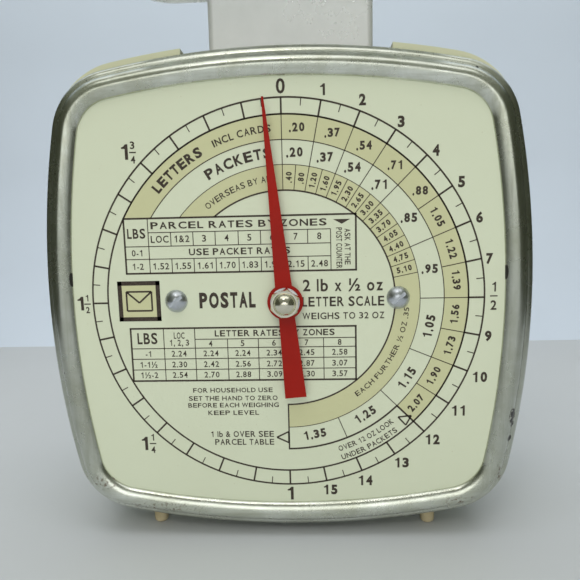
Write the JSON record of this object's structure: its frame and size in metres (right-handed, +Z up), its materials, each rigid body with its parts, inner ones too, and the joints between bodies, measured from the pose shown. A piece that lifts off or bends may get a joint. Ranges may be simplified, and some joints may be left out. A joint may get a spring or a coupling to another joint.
{
  "type": "letter scale",
  "caption": "Vintage counter-top letter scale: square dial with bowed sides in a chrome bezel, cream housing, red pointer and a sprung weighing plate.",
  "frame": {"origin": "bottom centre of the bounding box, on the surface that the feet stand on", "axes": "+Z up, dial facing -Y, +X to the right of someone reading the dial"},
  "size_m": [0.1508, 0.086, 0.193],
  "materials": {
    "bezel_chrome": "aged bright plating",
    "neck_chrome": "bright plating",
    "dial_enamel": "satin enamel with print",
    "housing_enamel": "semi-gloss cream enamel",
    "zinc_steel": "zinc plated",
    "frame_steel": "mill finish sheet",
    "turned_steel": "turned",
    "spring_steel": "drawn wire",
    "nut_nickel": "nickel plated",
    "brass": "turned",
    "pointer_red": "matte enamel",
    "black_rubber": "moulded",
    "foot_rubber": "moulded tan",
    "knob_plastic": "moulded, knurled"
  },
  "bodies": {
    "base": {"housing": "housing_enamel", "front_bezel": "bezel_chrome", "dial_plate": "dial_enamel", "housing_screws": "zinc_steel", "chassis": "frame_steel", "bearing_strap": "frame_steel", "bearing_pillars": "brass", "bearing_plate": "frame_steel", "front_bush": "brass", "back_bush": "brass", "dial_spacers": "brass", "dial_screws": "zinc_steel", "spring_bridge": "frame_steel", "bridge_screws": "zinc_steel", "lift_washer": "black_rubber", "travel_bumper": "black_rubber", "upper_chassis_pin": "turned_steel", "lower_chassis_pin": "turned_steel", "main_spring": "spring_steel", "foot_front_left": "foot_rubber", "foot_front_right": "foot_rubber", "foot_rear_left": "foot_rubber", "foot_rear_right": "foot_rubber"},
    "weighing_carriage": {"carriage": "neck_chrome", "platform": "neck_chrome", "platform_screws": "zinc_steel", "rack": "brass", "rack_bracket": "frame_steel", "rack_screws": "zinc_steel", "upper_carriage_pin": "turned_steel", "lower_carriage_pin": "turned_steel"},
    "indicator": {"arbor": "turned_steel", "pinion": "brass", "pointer": "pointer_red", "pointer_bush": "brass", "pointer_washer": "zinc_steel", "dome_nut": "nut_nickel"},
    "upper_parallel_link": {"upper_link": "frame_steel"},
    "lower_parallel_link": {"lower_link": "frame_steel"},
    "zero_adjuster": {"zero_knob": "knob_plastic"},
    "anchor_rod": {"spring_anchor": "turned_steel"}
  },
  "joints": [
    {"name": "platform_slide", "type": "slide", "parent": "base", "child": "weighing_carriage", "axis": [0, 0, -1], "range_m": [-0.0006, 0.01508], "stiffness_N_per_m": 590, "springref_m": -0.00468, "deforming": ["main_spring"]},
    {"name": "pointer_turn", "type": "hinge", "parent": "base", "child": "indicator", "pos_m": [0, -0.0335, 0.078], "axis": [0, 1, 0], "range_deg": [-14.42, 360.11]},
    {"name": "upper_link_pivot", "type": "hinge", "parent": "base", "child": "upper_parallel_link", "pos_m": [0, 0.034, 0.116], "axis": [1, 0, 0], "range_deg": [-0.86, 20.41]},
    {"name": "lower_link_pivot", "type": "hinge", "parent": "base", "child": "lower_parallel_link", "pos_m": [0, 0.034, 0.04], "axis": [1, 0, 0], "range_deg": [-0.86, 20.41]},
    {"name": "zero_knob_turn", "type": "hinge", "parent": "base", "child": "zero_adjuster", "pos_m": [0.0024, 0.0005, 0.148], "axis": [0, 0, 1], "range_deg": [-545, 545]},
    {"name": "anchor_rod_slide", "type": "slide", "parent": "base", "child": "anchor_rod", "axis": [0, 0, 1], "range_m": [-0.00105, 0.00105]}
  ],
  "couplings": [
    {"joint": "pointer_turn", "follows": "platform_slide", "rad_per_m": 416.67},
    {"joint": "upper_link_pivot", "follows": "platform_slide", "rad_per_m": 23.559},
    {"joint": "lower_link_pivot", "follows": "platform_slide", "rad_per_m": 23.559},
    {"joint": "zero_knob_turn", "follows": "anchor_rod_slide", "rad_per_m": -8976}
  ]
}
